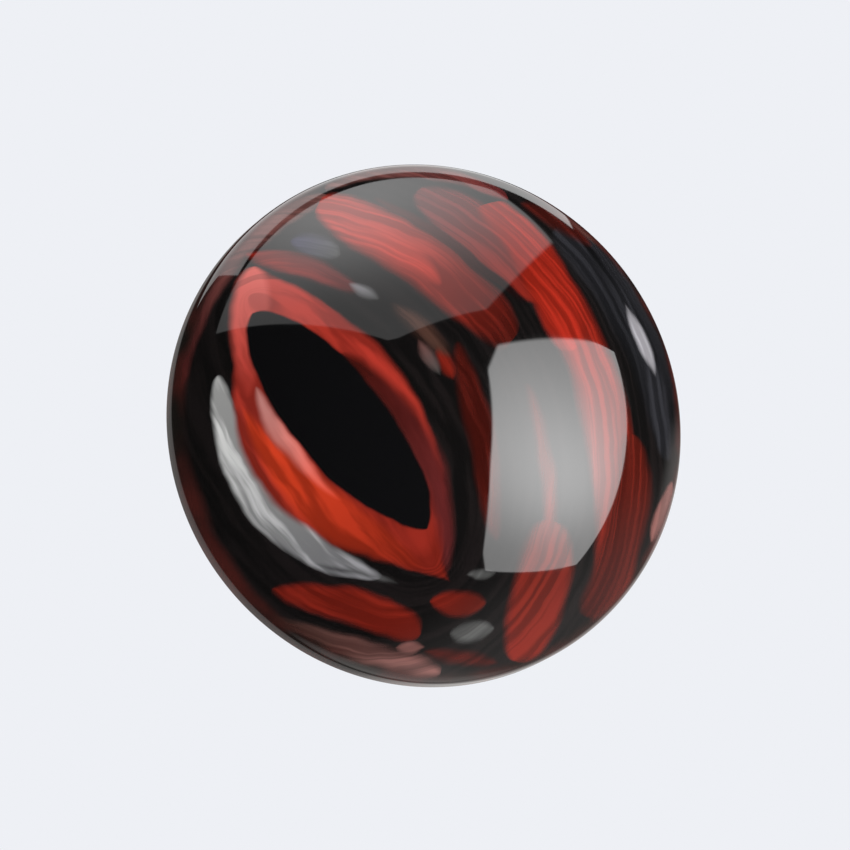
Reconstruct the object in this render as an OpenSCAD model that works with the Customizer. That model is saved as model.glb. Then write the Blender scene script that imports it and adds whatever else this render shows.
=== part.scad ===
// Clip-on earring: a round domed glass cabochon on a sprung metal ear clip.
// Millimetres. The stone faces -Y, +Z is up as worn, and the origin is the middle of the
// lobe gap, between the clip's round pad and its oval paddle.

/* [Cabochon] */
// Diameter of the stone
stone_d = 25; // [22:0.5:30]
// Height of the dome above the side wall
dome_h = 5.2; // [4.5:0.1:6.5]
// Height of the side wall, its roundings included
wall_h = 2.4; // [2:0.1:3]
// Radius of the rounded shoulder between wall and dome
shoulder_r = 1.1; // [0.6:0.1:1.4]
// Radius of the small rounding round the flat back
back_r = 0.4; // [0.2:0.1:0.5]

/* [Lobe gap] */
// Clear width between pad and paddle
lobe_gap = 5; // [4.6:0.1:6]
// Depth of the straight gap, from the middle of the pad down to the bend
gap_depth = 6.2; // [6.1:0.1:6.6]

/* [Ear clip] */
// Thickness of the sheet metal that the clip is bent from
sheet_t = 0.9; // [0.7:0.1:1.1]
// Diameter of the round pad behind the stone
pad_d = 12; // [10:0.5:12]
// Width of the sprung strip
strip_w = 5; // [4:0.2:5.6]
// Width of the oval paddle behind the lobe
paddle_w = 9; // [8:0.5:10]
// Height of the oval paddle
paddle_h = 11; // [10.5:0.5:12]
// Height of the paddle's middle above the middle of the gap
paddle_z = 0.4; // [0:0.1:0.8]
// Height of the stretch at the paddle's top that curls away from the lobe
flare_h = 3; // [2:0.2:3.4]
// Radius of that curl, in the middle of the sheet
flare_r = 5; // [4.5:0.1:7]

/* [Hidden] */
$fn = 128;
// Thin film of glue behind the stone, left as a gap
glue_gap = 0.06;
stone_r = stone_d / 2;
pad_y = -(lobe_gap + sheet_t) / 2;
paddle_y = -pad_y;
back_y = pad_y - sheet_t / 2 - glue_gap;
flare_z = paddle_z + paddle_h / 2 - flare_h;

// The shoulder's arc lies inside the dome's sphere and touches it, so cap_r is the distance
// between their centres
shoulder_x = stone_r - shoulder_r;
cap_r = (pow(shoulder_x, 2) + pow(dome_h, 2)) / (2 * dome_h);
dome_r = cap_r + shoulder_r;
shoulder_z = wall_h - shoulder_r;
dome_angle = asin(shoulder_x / cap_r);

module quarter_disc(r) {
  intersection() {
    circle(r);
    square(2 * r);
  }
}

// Half outline of the stone: x is the distance from its axis, y the height above its back
module stone_outline() {
  dome_z = shoulder_z + dome_h - cap_r;
  // Sector under the dome, from the axis to where the shoulder takes over
  intersection() {
    translate([0, dome_z]) circle(dome_r);
    polygon([
      [0, shoulder_z],
      [shoulder_x, shoulder_z],
      [2 * dome_r * sin(dome_angle), dome_z + 2 * dome_r * cos(dome_angle)],
      [0, dome_z + 2 * dome_r]
    ]);
  }
  translate([shoulder_x, shoulder_z]) quarter_disc(shoulder_r);
  translate([0, back_r]) square([stone_r, shoulder_z - back_r]);
  translate([stone_r - back_r, back_r]) mirror([0, 1]) quarter_disc(back_r);
  square([stone_r - back_r, shoulder_z]);
}

module cabochon() {
  color("firebrick")
    translate([0, back_y, 0])
      rotate([90, 0, 0])
        rotate_extrude()
          stone_outline();
}

// Upright plate of the sheet metal with the outline of its children, centred on depth y
module upright_plate(y, thick = sheet_t) {
  translate([0, y + thick / 2, 0])
    rotate([90, 0, 0])
      linear_extrude(thick)
        children();
}

// Bend of the sheet metal round the X axis, from straight down towards +Y
module sheet_bend(radius, width, angle) {
  rotate([0, 90, 0])
    rotate([0, 0, -90])
      rotate_extrude(angle = angle)
        translate([radius, 0])
          square([sheet_t, width], center = true);
}

// Outline of the strip's upright stretches, which start at the bend
module strip_outline() {
  translate([-strip_w / 2, -gap_depth]) square([strip_w, gap_depth]);
}

module paddle_outline() {
  straight = paddle_h - paddle_w;
  translate([0, paddle_z]) {
    square([paddle_w, straight], center = true);
    for (side = [-1, 1])
      translate([0, side * straight / 2]) circle(d = paddle_w);
  }
}

// Round pad behind the stone, with the strip leaving it downwards
module pad() {
  upright_plate(pad_y) {
    circle(d = pad_d);
    strip_outline();
  }
}

// Oval paddle behind the lobe, up to where its top starts to curl
module paddle() {
  upright_plate(paddle_y) {
    strip_outline();
    intersection() {
      paddle_outline();
      translate([-paddle_w, flare_z - 2 * paddle_h]) square([2 * paddle_w, 2 * paddle_h]);
    }
  }
}

// Top of the paddle, which curls away from the lobe and so can be lifted with a nail
module flare() {
  intersection() {
    translate([0, paddle_y + flare_r, flare_z])
      mirror([0, 0, 1])
        sheet_bend(flare_r, 2 * paddle_w, 60);
    upright_plate(paddle_y, 4 * flare_r)
      paddle_outline();
  }
}

module ear_clip() {
  color("silver") {
    pad();
    translate([0, 0, -gap_depth])
      sheet_bend(paddle_y, strip_w, 180);
    paddle();
    flare();
  }
}

cabochon();
ear_clip();
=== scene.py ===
"""Clip-on earring: a round domed cabochon of banded glass on an ear clip bent from sheet metal.

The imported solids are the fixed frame. Everything here is in metres in that frame: the stone faces
-Y, +Z is up as worn, and the origin is the middle of the lobe gap.
"""

import math

import bmesh
import bpy
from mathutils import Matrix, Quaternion, Vector


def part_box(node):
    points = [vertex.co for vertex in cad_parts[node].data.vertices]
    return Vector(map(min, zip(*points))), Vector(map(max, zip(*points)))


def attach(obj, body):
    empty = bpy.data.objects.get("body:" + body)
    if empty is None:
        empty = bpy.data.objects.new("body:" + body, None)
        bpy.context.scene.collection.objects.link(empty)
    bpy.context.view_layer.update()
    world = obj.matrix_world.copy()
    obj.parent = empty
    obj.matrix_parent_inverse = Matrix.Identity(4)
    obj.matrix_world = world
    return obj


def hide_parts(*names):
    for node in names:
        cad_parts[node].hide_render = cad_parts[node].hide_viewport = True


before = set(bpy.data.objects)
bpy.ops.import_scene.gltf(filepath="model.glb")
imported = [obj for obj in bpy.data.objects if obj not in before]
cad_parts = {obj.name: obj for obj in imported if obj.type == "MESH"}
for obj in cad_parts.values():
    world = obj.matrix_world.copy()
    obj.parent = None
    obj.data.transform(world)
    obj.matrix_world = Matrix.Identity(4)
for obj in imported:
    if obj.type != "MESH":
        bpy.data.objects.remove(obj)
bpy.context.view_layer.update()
MM = 0.001


# The cabochon
# A round stone of opaque soda-lime glass, lampworked in layers of black, orange-red and silver-grey
# that were folded round one black eye, then slumped into a dome and fire-polished.

stone_low, stone_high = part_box("cabochon")
STONE_R = (stone_high.x - stone_low.x) / 2
BACK_Y = stone_high.y
DOME_H = 5.2 * MM
WALL_H = stone_high.y - stone_low.y - DOME_H
SHOULDER_R = 1.1 * MM
BACK_EDGE_R = 0.4 * MM
STONE_SEGMENTS = 256


def arc(centre, radius, start, end, steps):
    """Points of a circle's arc, from the start angle to the end angle in degrees, both included."""
    angles = [math.radians(start + (end - start) * i / steps) for i in range(steps + 1)]
    return [
        (centre[0] + radius * math.cos(a), centre[1] + radius * math.sin(a)) for a in angles
    ]


def stone_outline():
    """Half outline of the stone as (distance from its axis, height above its back), apex first."""
    shoulder_x = STONE_R - SHOULDER_R
    shoulder_h = WALL_H - SHOULDER_R
    cap_r = (shoulder_x**2 + DOME_H**2) / (2 * DOME_H)
    dome_centre = (0, shoulder_h + DOME_H - cap_r)
    meeting = math.degrees(math.acos(shoulder_x / cap_r))
    dome = arc(dome_centre, cap_r + SHOULDER_R, 90, meeting, steps=64)
    shoulder = arc((shoulder_x, shoulder_h), SHOULDER_R, meeting, 0, steps=20)
    back_edge = arc((STONE_R - BACK_EDGE_R, BACK_EDGE_R), BACK_EDGE_R, 0, -90, steps=10)
    return dome + shoulder[1:] + back_edge


def turned_mesh(name, outline, segments):
    """A closed solid of revolution about Y. The outline starts and its back ends on the axis."""
    mesh = bmesh.new()
    apex = mesh.verts.new((0, BACK_Y - outline[0][1], 0))
    back = mesh.verts.new((0, BACK_Y, 0))
    turn = [2 * math.pi * i / segments for i in range(segments)]
    rings = []
    for radius, height in outline[1:]:
        rings.append([
            mesh.verts.new((radius * math.cos(a), BACK_Y - height, radius * math.sin(a)))
            for a in turn
        ])
    for i in range(segments):
        j = (i + 1) % segments
        mesh.faces.new((apex, rings[0][i], rings[0][j]))
        mesh.faces.new((back, rings[-1][j], rings[-1][i]))
        for upper, lower in zip(rings, rings[1:]):
            mesh.faces.new((upper[i], lower[i], lower[j], upper[j]))
    bmesh.ops.recalc_face_normals(mesh, faces=mesh.faces)
    return finished(name, mesh)


def finished(name, mesh):
    """Turns a bmesh into a smooth-shaded object in the scene."""
    data = bpy.data.meshes.new(name)
    mesh.to_mesh(data)
    mesh.free()
    data.shade_smooth()
    piece = bpy.data.objects.new(name, data)
    bpy.context.scene.collection.objects.link(piece)
    return piece


def linear(code):
    """Linear colour of an sRGB hex value such as "C83214"."""
    parts = [int(code[i : i + 2], 16) / 255 for i in (0, 2, 4)]
    parts = [c / 12.92 if c <= 0.04045 else ((c + 0.055) / 1.055) ** 2.4 for c in parts]
    return (*parts, 1.0)


def new_material(name):
    material = bpy.data.materials.new(name)
    material.use_nodes = True
    material.node_tree.nodes.clear()
    return material


def add_node(tree, kind, inputs=(), **settings):
    """Adds a node. Inputs maps a socket's name or number to a value or to another node's output."""
    node = tree.nodes.new("ShaderNode" + kind)
    for name, value in settings.items():
        setattr(node, name, value)
    for name, value in dict(inputs).items():
        if isinstance(value, bpy.types.NodeSocket):
            tree.links.new(value, node.inputs[name])
        else:
            node.inputs[name].default_value = value
    return node


# The glasses that the layers are pulled from. Under the studio's strong light each looks brighter
# than its own colour.
GLASS = {
    "black": "070708",
    "smoke": "1C1C1F",
    "slate": "40403F",
    "ash": "5E5D60",
    "pewter": "7C7A7E",
    "silver": "AAAAA8",
    "blush": "B8807A",
    "rose": "B04E46",
    "orange": "AC3218",
    "red": "922C22",
    "brick": "761A10",
    "garnet": "5A150D",
    "wine": "4E1C1C",
    "claret": "44120C",
    "oxblood": "340C08",
    "umber": "34221C",
    "mauve": "603E3A",
    "ink": "2A2840",
}

# The layers as they show on the face, from the ground up, in mm, with x to the right and z
# up. All are glass but the pink patch, which is a painted reflection. Each runs from one end to the
# other: width is its whole size across, bow is how far its middle stands off the line between its
# ends, taper 0 keeps its width and 1 brings it to a point, lean makes its far end wider, and soft is
# the width over which its edge blends. Its colour goes from its near end to its far one, and vein is
# how far the streaks vary it.
LAYER_COLUMNS = "name from_x from_z to_x to_z width bow taper lean soft near far vein".split()
LAYERS = [
    ("smoky right side", 6.4, 9.8, 12.2, -0.6, 5.4, 1.2, 0.2, 0.0, 0.7, "smoke", "black", 0.4),
    ("red left edge", -12.8, 1.2, -5.2, 10.4, 1.8, 1.8, 0.1, -0.3, 0.4, "wine", "mauve", 0.3),
    ("red top edge", -5.2, 10.8, 3.4, 10.8, 1.2, 1.2, 0.2, 0.2, 0.3, "mauve", "wine", 0.3),
    ("upper pink patch", 5.8, 10.3, 8.8, 8.7, 1.0, 0.2, 0.6, 0.0, 0.4, "mauve", "umber", 0.2),
    ("smoke wisp", 7.0, 9.2, 10.0, 4.8, 1.2, 0.0, 0.6, 0.0, 0.3, "black", "smoke", 0.4),
    ("lower smoke", 10.4, 3.4, 11.4, -1.6, 1.6, 0.0, 0.3, 0.0, 0.4, "smoke", "smoke", 0.4),
    ("silver streak", 9.1, 6.0, 10.7, 2.3, 1.2, 0.0, 0.9, 0.0, 0.4, "pewter", "pewter", 0.2),
    # Painted reflection: the pink patch is the mirror image of a bright place to the lower right,
    # painted into the rim's colour
    ("pink patch", 11.8, -2.4, 10.8, -5.4, 1.2, 0.0, 0.6, 0.0, 0.3, "mauve", "mauve", 0.2),
    ("silver crescent", -10.8, 1.3, -3.4, -8.2, 1.8, -2.1, 0.4, 0.0, 0.3, "silver", "ash", 0.4),
    ("crescent's tail", -6.4, -7.4, -2.4, -8.4, 0.6, 0.0, 0.6, 0.0, 0.4, "smoke", "slate", 0.5),
    ("outer ring", -9.0, 7.0, 0.0, -8.4, 8.2, -1.6, 1.2, 0.0, 0.4, "red", "garnet", 0.3),
    ("ring's rosy tip", -9.0, 6.8, -9.6, 0.0, 1.7, -0.2, 0.4, -0.3, 0.4, "rose", "red", 0.2),
    ("orange flow", -9.9, -0.2, -0.8, -7.8, 2.3, -1.3, 0.8, 0.0, 0.5, "orange", "garnet", 0.3),
    ("ring's dark side", -5.6, 2.0, -0.2, -7.8, 1.9, 1.1, 0.3, -0.3, 0.7, "oxblood", "wine", 0.2),
    ("pale thread", -9.3, 0.6, -5.4, -4.8, 1.0, -0.5, 0.5, -0.2, 0.4, "blush", "orange", 0.2),
    ("black eye", -9.4, 4.4, -1.4, -5.9, 4.4, -0.4, 0.6, 0.0, 0.2, "black", "black", 0.0),
    ("inner red stripe", -0.4, 2.8, 1.9, -6.4, 1.8, 0.1, 0.4, 0.0, 0.5, "oxblood", "oxblood", 0.3),
    ("orange chip", -1.3, 2.7, -0.5, 0.8, 1.0, 0.0, 0.8, 0.0, 0.4, "garnet", "garnet", 0.2),
    ("grey chip", -2.2, 2.8, -1.1, 1.1, 0.9, 0.0, 0.8, 0.0, 0.4, "mauve", "slate", 0.2),
    ("upper red stripe", -5.7, 10.0, 2.5, 3.1, 3.3, 0.2, 0.2, 0.0, 0.6, "red", "oxblood", 0.3),
    ("stripe's rosy heart", -5.2, 9.2, -0.8, 5.6, 1.8, 0.2, 0.5, 0.0, 0.6, "red", "red", 0.2),
    ("pale shoulder", -1.2, 10.8, 4.4, 5.3, 3.7, 0.3, 0.4, 0.0, 0.5, "wine", "garnet", 0.3),
    ("dark line", -3.2, 10.2, 3.4, 4.8, 0.9, 0.1, 0.3, 0.0, 0.3, "oxblood", "black", 0.2),
    ("dark red corner", 4.0, 10.5, 7.8, 8.8, 1.7, 0.2, 0.5, 0.0, 0.6, "oxblood", "oxblood", 0.3),
    ("right arc", 2.3, 10.3, 8.8, -9.2, 3.2, 1.6, 0.1, 0.1, 0.6, "brick", "claret", 0.3),
    ("arc's belly", 3.2, 9.7, 5.6, 2.8, 3.0, 0.3, 0.3, 0.0, 0.6, "brick", "brick", 0.3),
    ("blue-grey spot", -7.3, 8.0, -5.1, 7.1, 1.7, 0.1, 0.5, 0.0, 0.5, "ink", "slate", 0.2),
    ("brown line", -9.2, 7.4, -4.6, 5.2, 1.6, 0.2, 0.4, 0.0, 0.5, "brick", "wine", 0.3),
    ("white spot", -5.0, 5.6, -3.8, 4.7, 0.8, 0.0, 0.6, 0.0, 0.4, "pewter", "slate", 0.2),
    ("grey veil", -3.4, 4.6, -0.6, 2.0, 1.4, 0.0, 0.6, 0.0, 0.6, "umber", "umber", 0.4),
    ("bottom red stripe", -7.9, -8.4, -0.9, -10.5, 1.8, 0.1, 0.4, 0.2, 0.4, "garnet", "garnet", 0.3),
    ("brown seam", -8.4, -9.6, 0.4, -12.0, 1.7, -0.6, 0.3, 0.0, 0.5, "umber", "mauve", 0.4),
    ("beige spot", -2.1, -11.1, -0.5, -11.1, 0.8, 0.0, 0.8, 0.0, 0.3, "mauve", "mauve", 0.2),
    ("small red stripe", -0.9, -9.2, 1.9, -9.1, 1.4, -0.1, 0.5, 0.0, 0.4, "garnet", "claret", 0.2),
    ("grey pebble", 0.4, -10.5, 2.6, -10.2, 1.1, 0.0, 0.5, 0.0, 0.35, "slate", "slate", 0.3),
    ("red underside", -0.6, -11.3, 3.2, -11.5, 0.9, 0.0, 0.5, 0.0, 0.4, "oxblood", "oxblood", 0.3),
    ("grey heel", 0.6, -8.0, 2.2, -7.8, 0.7, 0.0, 0.8, 0.0, 0.3, "slate", "slate", 0.3),
    ("orange foot", 4.8, -5.2, 4.2, -11.4, 3.4, 0.1, 0.3, 0.0, 0.6, "claret", "garnet", 0.3),
    ("arc's dark foot", 9.1, -0.6, 7.4, -9.2, 3.1, 0.8, 0.3, 0.0, 0.7, "claret", "oxblood", 0.3),
    ("thin red streak", 3.1, 1.0, 4.9, -7.2, 1.2, 0.3, 0.3, 0.0, 0.6, "oxblood", "garnet", 0.2),
]


# Sizes in the glass, in mm. The folds wander over the first size of each pair by up to half the
# second, and the colour of the back begins and is full at the two heights of BACK_TINT.
FOLD_WANDER = ((3.2, 0.55), (1.0, 0.16))
EYE_TIPS = ((-9.2, 5.2, 0), (-1.0, -7.4, 0))
STREAK_W = 0.3
STREAK_L = 5.0
FACE_END_R = 11.9
WALL_START_R = 12.4
BACK_TINT = (0.6, 0.3)
GROUND_PATCH = 4.0
POLISH_WAVE = 4.0
POLISH_RELIEF = 0.02
WEAR_PATCH = 1.5


def wandering(tree, in_mm):
    """The face's coordinates in mm, shifted by a few tenths as the folds of the glass wander."""
    folds = in_mm
    for size, reach in FOLD_WANDER:
        wave = add_node(tree, "TexNoise", {"Vector": in_mm, "Scale": 1 / size, "Detail": 1.0})
        centred = add_node(
            tree, "VectorMath", {0: wave.outputs["Color"], 1: (0.5, 0.5, 0.5)}, operation="SUBTRACT"
        )
        shift = add_node(
            tree, "VectorMath", {0: centred.outputs[0], "Scale": reach}, operation="SCALE"
        )
        folds = add_node(
            tree, "VectorMath", {0: folds, 1: shift.outputs[0]}, operation="ADD"
        ).outputs[0]
    return folds


def pulled_streaks(tree, flat):
    """Streaks from 0 to 1, which follow ellipses that share the eye's two tips."""
    to_tips = [
        add_node(tree, "VectorMath", {0: flat, 1: tip}, operation="DISTANCE").outputs["Value"]
        for tip in EYE_TIPS
    ]
    across = add_node(tree, "Math", {0: to_tips[0], 1: to_tips[1]}, operation="ADD").outputs[0]
    along = add_node(tree, "Math", {0: to_tips[0], 1: to_tips[1]}, operation="SUBTRACT").outputs[0]
    pulled = add_node(tree, "CombineXYZ", {"X": across, "Y": along}).outputs[0]
    # A step off an ellipse changes the sum of the two distances by up to twice its length
    pulled = add_node(
        tree, "Mapping", {"Vector": pulled, "Scale": (0.5 / STREAK_W, 0.5 / STREAK_L, 1)}
    ).outputs[0]
    noise = add_node(tree, "TexNoise", {"Vector": pulled, "Scale": 1.0, "Detail": 3.0})
    return add_node(
        tree, "MapRange", {0: noise.outputs[0], 1: 0.42, 2: 0.62}, interpolation_type="SMOOTHSTEP"
    ).outputs[0]


def glass_layer(tree, layer, folds, streak):
    """How far one layer covers what is under it, from 0 to 1, and its colour."""
    near_end = Vector((layer["from_x"], layer["from_z"], 0))
    far_end = Vector((layer["to_x"], layer["to_z"], 0))
    run = far_end - near_end
    half_length, half_width = run.length / 2, layer["width"] / 2
    own = add_node(
        tree,
        "Mapping",
        {
            "Vector": folds,
            "Location": (near_end + far_end) / 2,
            "Rotation": (0, 0, math.atan2(run.y, run.x)),
            "Scale": (half_length, half_width, 1),
        },
        vector_type="TEXTURE",
        label=layer["name"],
    )
    own = add_node(tree, "SeparateXYZ", {0: own.outputs[0]}).outputs

    # The bow and the taper both follow 1 - x squared, which is 0 at the layer's two ends
    squared = add_node(tree, "Math", {0: own["X"], 1: own["X"]}, operation="MULTIPLY").outputs[0]
    inside = add_node(
        tree, "Math", {0: 1.0, 1: squared}, operation="SUBTRACT", use_clamp=True
    ).outputs[0]
    off_line = add_node(
        tree,
        "Math",
        {0: inside, 1: -layer["bow"] / half_width, 2: own["Y"]},
        operation="MULTIPLY_ADD",
    ).outputs[0]
    off_line = add_node(tree, "Math", {0: off_line}, operation="ABSOLUTE").outputs[0]
    reach = add_node(tree, "Math", {0: inside, 1: layer["taper"]}, operation="POWER").outputs[0]
    if layer["lean"]:
        spread = add_node(
            tree, "Math", {0: own["X"], 1: layer["lean"], 2: 1.0}, operation="MULTIPLY_ADD"
        ).outputs[0]
        reach = add_node(tree, "Math", {0: reach, 1: spread}, operation="MULTIPLY").outputs[0]
    depth = add_node(tree, "Math", {0: reach, 1: off_line}, operation="SUBTRACT").outputs[0]
    cover = add_node(
        tree,
        "MapRange",
        {0: depth, 1: 0, 2: layer["soft"] / half_width},
        interpolation_type="SMOOTHSTEP",
    ).outputs[0]

    way = add_node(tree, "MapRange", {0: own["X"], 1: -1, 2: 1}).outputs[0]
    tint = add_node(
        tree,
        "Mix",
        {"Factor": way, 6: linear(GLASS[layer["near"]]), 7: linear(GLASS[layer["far"]])},
        data_type="RGBA",
    ).outputs[2]
    if layer["vein"]:
        low, high = 1 - layer["vein"], 1 + layer["vein"]
        strength = add_node(tree, "MapRange", {0: streak, 3: low, 4: high}).outputs[0]
        tint = add_node(
            tree, "VectorMath", {0: tint, "Scale": strength}, operation="SCALE"
        ).outputs[0]
    return cover, tint


def banded_glass():
    """Opaque banded glass, fire-polished: deep black, clear edges between the layers and a wet
    gloss. Fine streaks of the lampworker's pull run round the eye, along the layers."""
    material = new_material("banded_glass")
    tree = material.node_tree
    place = add_node(tree, "TexCoord").outputs["Object"]
    axes = add_node(tree, "SeparateXYZ", {0: place}).outputs
    face = add_node(tree, "CombineXYZ", {"X": axes["X"], "Y": axes["Z"], "Z": axes["Y"]}).outputs[0]
    in_mm = add_node(tree, "VectorMath", {0: face, "Scale": 1 / MM}, operation="SCALE").outputs[0]
    folds = wandering(tree, in_mm)
    flat = add_node(tree, "VectorMath", {0: folds, 1: (1, 1, 0)}, operation="MULTIPLY").outputs[0]
    streak = pulled_streaks(tree, flat)

    # Under all layers lies black glass, and each layer covers a part of those before it
    colour = add_node(
        tree, "Mix", {"Factor": streak, 6: linear("090808"), 7: linear("110E0E")}, data_type="RGBA"
    ).outputs[2]
    for row in LAYERS:
        cover, tint = glass_layer(tree, dict(zip(LAYER_COLUMNS, row)), folds, streak)
        colour = add_node(
            tree, "Mix", {"Factor": cover, 6: colour, 7: tint}, data_type="RGBA"
        ).outputs[2]

    # The layers are thin, so the side wall and the back show the dull red and black under them
    from_axis = add_node(tree, "VectorMath", {0: flat}, operation="LENGTH").outputs["Value"]
    at_wall = add_node(
        tree,
        "MapRange",
        {0: from_axis, 1: FACE_END_R, 2: WALL_START_R},
        interpolation_type="SMOOTHSTEP",
    ).outputs[0]
    begins, full = (BACK_Y - height * MM for height in BACK_TINT)
    at_back = add_node(tree, "MapRange", {0: axes["Y"], 1: begins, 2: full}).outputs[0]
    under = add_node(tree, "Math", {0: at_wall, 1: at_back}, operation="MAXIMUM").outputs[0]
    ground = add_node(
        tree, "TexNoise", {"Vector": folds, "Scale": 1 / GROUND_PATCH, "Detail": 2.0}
    )
    ground = add_node(
        tree, "MapRange", {0: ground.outputs[0], 1: 0.35, 2: 0.65}, interpolation_type="SMOOTHSTEP"
    ).outputs[0]
    ground = add_node(
        tree,
        "Mix",
        {"Factor": ground, 6: linear("120F0D"), 7: linear("361512")},
        data_type="RGBA",
    ).outputs[2]
    colour = add_node(
        tree, "Mix", {"Factor": under, 6: colour, 7: ground}, data_type="RGBA"
    ).outputs[2]

    # Fire polish leaves waves of a few microns, and wear and touch dull it a little in patches
    waves = add_node(tree, "TexNoise", {"Vector": in_mm, "Scale": 1 / POLISH_WAVE, "Detail": 0.0})
    bump = add_node(
        tree,
        "Bump",
        {"Height": waves.outputs[0], "Strength": 0.15, "Distance": POLISH_RELIEF * MM},
    )
    wear = add_node(tree, "TexNoise", {"Vector": in_mm, "Scale": 1 / WEAR_PATCH, "Detail": 4.0})
    rough = add_node(tree, "MapRange", {0: wear.outputs[0], 1: 0.3, 2: 0.75, 3: 0.02, 4: 0.06})
    shader = add_node(
        tree,
        "BsdfPrincipled",
        {
            "Base Color": colour,
            "Roughness": rough.outputs[0],
            "IOR": 1.52,
            "Normal": bump.outputs[0],
        },
    )
    add_node(tree, "OutputMaterial", {"Surface": shader.outputs[0]})
    return material


stone = turned_mesh("stone", stone_outline(), STONE_SEGMENTS)
stone.data.materials.append(banded_glass())
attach(stone, "root")
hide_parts("cabochon")


# The ear clip
# Stamped from one strip of spring brass, tumbled to round its edges, bent into a U and plated
# silver-tone: a round pad glued behind the stone, and a paddle that presses on the lobe.

clip_low, clip_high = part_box("ear_clip")
SHEET_T = 0.9 * MM
PAD_R = clip_high.x
PAD_Y = clip_low.y + SHEET_T / 2
BEND_R = -PAD_Y
BEND_Z = clip_low.z + BEND_R + SHEET_T / 2
STRIP_HALF = 2.5 * MM
CORNER_R = 0.6 * MM
EDGE_R = 0.24 * MM
PADDLE_R = 4.5 * MM
PADDLE_STRAIGHT = 2 * MM
PADDLE_Z = 0.4 * MM
FLARE_R = 5 * MM
FLARE_H = 3 * MM
BEND_SCORES = 60
FLARE_SCORES = 14
TONE_PATCH = 4 * MM
SCRATCH_PITCH = 0.1 * MM
SCRATCH_DEPTH = 0.01 * MM
PADDLE_TOP = PADDLE_Z + PADDLE_STRAIGHT / 2 + PADDLE_R
FLARE_Z = PADDLE_TOP - FLARE_H
BEND_START = -BEND_Z
BEND_END = BEND_START + math.pi * BEND_R
FLARE_START = BEND_END + FLARE_Z - BEND_Z
FLARE_END = FLARE_START + FLARE_R * math.asin(FLARE_H / FLARE_R)


def run_at_height(z):
    """Distance along the strip, from the pad's middle, of a height z behind the lobe."""
    if z <= FLARE_Z:
        return BEND_END + z - BEND_Z
    return FLARE_START + FLARE_R * math.asin(min(1, (z - FLARE_Z) / FLARE_R))


def blank_outline():
    """Outline of the flat blank before bending, as (across, run along the strip from the pad)."""
    inner = STRIP_HALF + CORNER_R
    pad_turn = math.degrees(math.acos(inner / (PAD_R + CORNER_R)))
    corner_run = (PAD_R + CORNER_R) * math.sin(math.radians(pad_turn))
    side = arc((0, 0), PAD_R, -90, pad_turn, steps=72)
    side += arc((inner, corner_run), CORNER_R, 180 + pad_turn, 180, steps=8)[1:]

    low_z = PADDLE_Z - PADDLE_STRAIGHT / 2
    high_z = PADDLE_Z + PADDLE_STRAIGHT / 2
    paddle_turn = math.degrees(math.acos(inner / (PADDLE_R + CORNER_R)))
    corner_z = low_z - (PADDLE_R + CORNER_R) * math.sin(math.radians(paddle_turn))
    paddle = arc((inner, corner_z), CORNER_R, 180, 180 - paddle_turn, steps=8)
    paddle += arc((0, low_z), PADDLE_R, -paddle_turn, 0, steps=40)[1:]
    paddle += arc((0, high_z), PADDLE_R, 0, 90, steps=48)
    side += [(x, run_at_height(z)) for x, z in paddle]
    return side + [(-x, run) for x, run in reversed(side[1:-1])]


def bent(across, run, out):
    """Place of a point of the blank once it is bent; out is its height on the blank's outer face."""
    if run <= BEND_START:
        return (across, PAD_Y - out, -run)
    if run <= BEND_END:
        turn = (run - BEND_START) / BEND_R
        radius = BEND_R + out
        return (across, -radius * math.cos(turn), BEND_Z - radius * math.sin(turn))
    if run <= FLARE_START:
        return (across, BEND_R + out, BEND_Z + run - BEND_END)
    # The curled tip's edge stays level, so each point keeps the height of the sheet's middle
    rise = FLARE_R * math.sin((run - FLARE_START) / FLARE_R)
    return (
        across,
        BEND_R + FLARE_R - math.sqrt((FLARE_R - out) ** 2 - rise**2),
        FLARE_Z + rise,
    )


def clip_mesh():
    """Stamps the blank, rounds its edges, scores it across the bends and bends it."""
    mesh = bmesh.new()
    rim = [mesh.verts.new((x, run, -SHEET_T / 2)) for x, run in blank_outline()]
    face = mesh.faces.new(rim)
    raised = bmesh.ops.extrude_face_region(mesh, geom=[face])["geom"]
    top = [v for v in raised if isinstance(v, bmesh.types.BMVert)]
    bmesh.ops.translate(mesh, verts=top, vec=(0, 0, SHEET_T))
    bmesh.ops.recalc_face_normals(mesh, faces=mesh.faces)
    rims = [e for e in mesh.edges if abs(e.verts[0].co.z - e.verts[1].co.z) < SHEET_T / 2]
    bmesh.ops.bevel(
        mesh,
        geom=rims,
        offset=EDGE_R,
        offset_type="OFFSET",
        segments=4,
        profile=0.5,
        affect="EDGES",
        clamp_overlap=True,
    )
    bend_step = (BEND_END - BEND_START) / BEND_SCORES
    flare_step = (FLARE_END - FLARE_START) / FLARE_SCORES
    stations = [BEND_START + bend_step * i for i in range(BEND_SCORES + 1)]
    stations += [FLARE_START + flare_step * i for i in range(FLARE_SCORES)]
    for run in stations:
        geometry = mesh.verts[:] + mesh.edges[:] + mesh.faces[:]
        bmesh.ops.bisect_plane(
            mesh, geom=geometry, plane_co=(0, run, 0), plane_no=(0, 1, 0), dist=1e-7
        )
    for vertex in mesh.verts:
        vertex.co = bent(*vertex.co)
    bmesh.ops.recalc_face_normals(mesh, faces=mesh.faces)
    return finished("clip", mesh)


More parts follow.
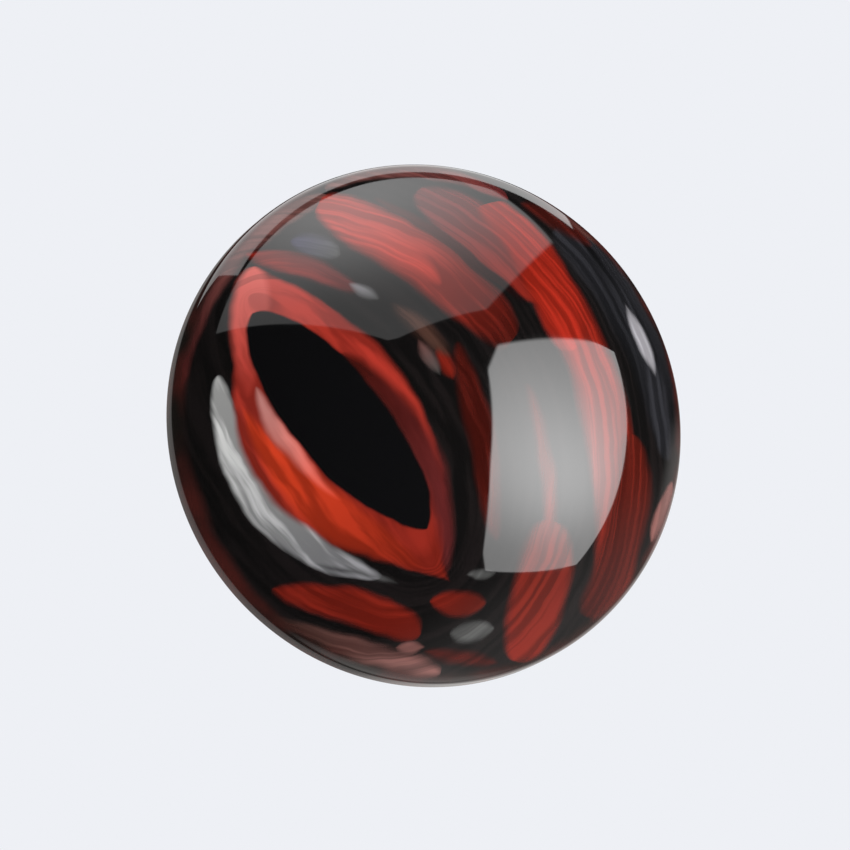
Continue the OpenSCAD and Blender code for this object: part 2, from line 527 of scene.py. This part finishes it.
def plated_brass():
    """Tumbled brass with a bright nickel and rhodium plate: grey-white, mirror-like but softened by
    tumbling, with fine handling scratches about 0.05 mm wide, drawn twice as coarse to show."""
    material = new_material("plated_brass")
    tree = material.node_tree
    place = add_node(tree, "TexCoord").outputs["Object"]
    tone = add_node(tree, "TexNoise", {"Vector": place, "Scale": 1 / TONE_PATCH, "Detail": 3.0})
    colour = add_node(
        tree,
        "Mix",
        {"Factor": tone.outputs[0], 6: linear("B4B1AA"), 7: linear("CDCAC4")},
        data_type="RGBA",
    )
    fine = add_node(tree, "Mapping", {"Vector": place, "Scale": (1.0, 1.0, 0.12)}).outputs[0]
    scratch = add_node(tree, "TexNoise", {"Vector": fine, "Scale": 1 / SCRATCH_PITCH, "Detail": 2.0})
    rough = add_node(tree, "MapRange", {0: scratch.outputs[0], 1: 0.3, 2: 0.7, 3: 0.12, 4: 0.26})
    bump = add_node(
        tree, "Bump", {"Height": scratch.outputs[0], "Strength": 0.12, "Distance": SCRATCH_DEPTH}
    )
    shader = add_node(
        tree,
        "BsdfPrincipled",
        {
            "Base Color": colour.outputs[2],
            "Metallic": 1.0,
            "Roughness": rough.outputs[0],
            "Normal": bump.outputs[0],
        },
    )
    add_node(tree, "OutputMaterial", {"Surface": shader.outputs[0]})
    return material


clip = clip_mesh()
clip.data.materials.append(plated_brass())
weighted = clip.modifiers.new("even shading", "WEIGHTED_NORMAL")
weighted.keep_sharp = True
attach(clip, "root")
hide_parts("ear_clip")


# The studio
# A pale floor well below the earring, which hangs as worn, a tall soft light to its right, a large
# one overhead, and a pale backdrop behind it with a dark room in front. The camera has the
# photograph's angle, and the stone takes up its share of the picture's width.

FLOOR_Z = -0.4
FLOOR_HALF = 4.0
FLOOR_MOTTLE = 60 * MM
VIEW_AZIMUTH = -15.5
VIEW_ELEVATION = -10.5
LENS_MM = 300
SENSOR_MM = 36
STONE_SHARE = 0.62


def direction(azimuth, elevation):
    """Unit vector from the earring towards a place round it, in the camera's own angles."""
    a, e = math.radians(azimuth), math.radians(elevation)
    return Vector((math.sin(a) * math.cos(e), -math.cos(a) * math.cos(e), math.sin(e)))


def soft_light(
    name,
    place,
    facing,
    roll,
    size,
    radiance,
    centre=(0, 0),
    falloff=(0, 0),
    rest=0.0,
    tilt=0.0,
    bow=0.0,
    cuts=(),
):
    """Rectangular area light that faces along a vector, turned by a roll in degrees. It is brightest
    at centre and falls off with the rates in falloff to the share in rest, and tilt slants that
    glow. Bow draws in the ends of its sides, and each cut (x, y, reach) ends it along a straight
    line. Places on its face are in half sizes of it."""
    data = bpy.data.lights.new(name, "AREA")
    data.shape = "RECTANGLE"
    data.size, data.size_y = size
    data.energy = radiance * math.pi * size[0] * size[1]
    data.use_nodes = True
    tree = data.node_tree
    tree.nodes.clear()
    across = add_node(tree, "NewGeometry").outputs["Parametric"]
    own = add_node(
        tree, "VectorMath", {0: across, 1: (2, 2, 0), 2: (-1, -1, 0)}, operation="MULTIPLY_ADD"
    ).outputs[0]
    axes = add_node(tree, "SeparateXYZ", {0: own}).outputs
    x = add_node(tree, "Math", {0: axes["X"], 1: centre[0]}, operation="SUBTRACT").outputs[0]
    y = add_node(tree, "Math", {0: axes["Y"], 1: centre[1]}, operation="SUBTRACT").outputs[0]
    y = add_node(tree, "Math", {0: x, 1: tilt, 2: y}, operation="MULTIPLY_ADD").outputs[0]
    away = add_node(tree, "CombineXYZ", {"X": x, "Y": y}).outputs[0]
    away = add_node(
        tree, "VectorMath", {0: away, 1: (*falloff, 0)}, operation="MULTIPLY"
    ).outputs[0]
    squared = add_node(tree, "VectorMath", {0: away, 1: away}, operation="DOT_PRODUCT")
    negative = add_node(tree, "Math", {0: squared.outputs["Value"], 1: -1.0}, operation="MULTIPLY")
    glow = add_node(tree, "Math", {0: negative.outputs[0]}, operation="EXPONENT").outputs[0]
    strength = add_node(tree, "MapRange", {0: glow, 3: rest, 4: 1.0}).outputs[0]
    if bow:
        side = add_node(tree, "Math", {0: axes["X"]}, operation="ABSOLUTE").outputs[0]
        drawn = add_node(tree, "Math", {0: axes["Y"], 1: axes["Y"]}, operation="MULTIPLY").outputs[0]
        side = add_node(
            tree, "Math", {0: drawn, 1: bow, 2: side}, operation="MULTIPLY_ADD"
        ).outputs[0]
        edge = add_node(tree, "MapRange", {0: side, 1: 0.98, 2: 1.0, 3: 1.0, 4: 0.0}).outputs[0]
        strength = add_node(tree, "Math", {0: strength, 1: edge}, operation="MULTIPLY").outputs[0]
    for cut_x, cut_y, reach in cuts:
        out = add_node(tree, "VectorMath", {0: own, 1: (cut_x, cut_y, 0)}, operation="DOT_PRODUCT")
        edge = add_node(
            tree, "MapRange", {0: out.outputs["Value"], 1: reach - 0.02, 2: reach, 3: 1.0, 4: 0.0}
        ).outputs[0]
        strength = add_node(tree, "Math", {0: strength, 1: edge}, operation="MULTIPLY").outputs[0]
    emission = add_node(tree, "Emission", {"Strength": strength})
    add_node(tree, "OutputLight", {"Surface": emission.outputs[0]})
    light = bpy.data.objects.new(name, data)
    light.location = place
    light.rotation_mode = "QUATERNION"
    turn = Quaternion((0, 0, 1), math.radians(roll))
    light.rotation_quaternion = (-Vector(facing)).to_track_quat("Z", "Y") @ turn
    light.visible_camera = False
    bpy.context.scene.collection.objects.link(light)
    return light


def matte_floor():
    """Seamless studio paper: matte, pale and faintly mottled."""
    material = new_material("studio_paper")
    tree = material.node_tree
    place = add_node(tree, "TexCoord").outputs["Object"]
    mottle = add_node(tree, "TexNoise", {"Vector": place, "Scale": 1 / FLOOR_MOTTLE, "Detail": 2.0})
    colour = add_node(
        tree,
        "Mix",
        {"Factor": mottle.outputs[0], 6: linear("BDBEC0"), 7: linear("C1C2C4")},
        data_type="RGBA",
    )
    shader = add_node(
        tree, "BsdfPrincipled", {"Base Color": colour.outputs[2], "Roughness": 0.9}
    )
    add_node(tree, "OutputMaterial", {"Surface": shader.outputs[0]})
    return material


floor_mesh = bmesh.new()
bmesh.ops.create_grid(floor_mesh, x_segments=8, y_segments=8, size=FLOOR_HALF)
floor = finished("floor", floor_mesh)
floor.location = (0, 0, FLOOR_Z)
floor.data.materials.append(matte_floor())
# The stone mirrors the room's low glows in the floor's place
floor.visible_glossy = False

# The side light stands to the right and a little low. The overhead one narrows towards the front
# and stops just behind the earring, and beyond a gap a strip lights the stone's upper rim and the
# clip. The fill brings up the colours of the left side, the wash lights the floor, and neither is
# mirrored in the stone.
soft_light(
    "side softbox",
    (0.41944, -0.24394, -0.10577),
    -direction(23.95, 16.9),
    roll=8.7,
    size=(0.54, 0.7),
    radiance=9.3,
    centre=(-0.35, 0.204),
    falloff=(0.97, 1.82),
    tilt=0.19,
    rest=0.41,
    bow=0.08,
    cuts=[(-1.0, 0.18, 1.04), (-0.67, 0.74, 1.19), (-0.07, 1.0, 0.98), (-1.0, -0.35, 1.2)],
)
soft_light(
    "overhead softbox",
    (-0.044, -0.374, 0.5),
    (0, 0, -1),
    roll=18,
    size=(1.3, 0.82),
    radiance=3.2,
    centre=(0.12, 0.75),
    falloff=(2.17, 1.78),
    rest=0.28,
    cuts=[(0.95, -0.33, 0.62), (-0.97, -0.3, 0.67), (0.4, -0.64, 0.54), (0.87, 0.49, 1.09)],
)
soft_light(
    "rear strip",
    (-0.066, 0.346, 0.52),
    (0, 0, -1),
    roll=20,
    size=(0.96, 0.5),
    radiance=2.3,
)
fill = soft_light(
    "left fill",
    direction(-62, -8) * 0.6,
    -direction(-62, -8),
    roll=0,
    size=(0.6, 0.6),
    radiance=2.0,
)
fill.visible_glossy = False
wash = soft_light("floor wash", (0, 0, -0.1), (0, 0, -1), roll=0, size=(8, 8), radiance=1.3)
wash.visible_glossy = False

# The room is dark in front, and the pale backdrop, the low wall and the floor light it from
# behind. Each glow has the way to its middle, the cosines of the angles at which it starts and is
# full, and its radiance.
ROOM_DARK = 0.02
ROOM_GLOWS = [
    ((0.6, 0.78, -0.2), 0.86, 0.98, 0.8),
    ((0.0, 1.0, 0.0), 0.85, 1.0, 0.3),
    ((0.6, 0.3, -0.75), 0.55, 0.95, 0.36),
    ((0.1, 0.35, -0.93), 0.84, 0.96, 0.7),
    ((0.9, 0.44, 0.0), 0.97, 0.995, 0.5),
]
world = bpy.data.worlds.new("studio")
bpy.context.scene.world = world
world.use_nodes = True
world.node_tree.nodes.clear()
room = world.node_tree
towards = add_node(room, "TexCoord").outputs["Generated"]
around = ROOM_DARK
for centre, start, full, radiance in ROOM_GLOWS:
    near = add_node(
        room, "VectorMath", {0: towards, 1: Vector(centre).normalized()}, operation="DOT_PRODUCT"
    ).outputs["Value"]
    glow = add_node(
        room, "MapRange", {0: near, 1: start, 2: full, 4: radiance}, interpolation_type="SMOOTHSTEP"
    ).outputs[0]
    around = add_node(room, "Math", {0: glow, 1: around}, operation="ADD").outputs[0]
seen = add_node(room, "Background", {"Color": linear("EEF0F5")}).outputs[0]
lit = add_node(room, "Background", {"Color": linear("FFFBF8"), "Strength": around}).outputs[0]
by_camera = add_node(room, "LightPath").outputs["Is Camera Ray"]
backdrop = add_node(room, "MixShader", {0: by_camera, 1: lit, 2: seen}).outputs[0]
add_node(room, "OutputWorld", {"Surface": backdrop})

camera_data = bpy.data.cameras.new("camera")
camera_data.lens = LENS_MM
camera_data.sensor_width = SENSOR_MM
camera = bpy.data.objects.new("camera", camera_data)
bpy.context.scene.collection.objects.link(camera)
bpy.context.scene.camera = camera
middle = Vector((0, BACK_Y - WALL_H / 3, 0))
toward_camera = direction(VIEW_AZIMUTH, VIEW_ELEVATION)
distance = 2 * STONE_R / STONE_SHARE * LENS_MM / SENSOR_MM
camera.location = middle + toward_camera * distance
camera.rotation_mode = "QUATERNION"
camera.rotation_quaternion = (-toward_camera).to_track_quat("-Z", "Y")
bpy.context.scene.view_settings.view_transform = "Standard"
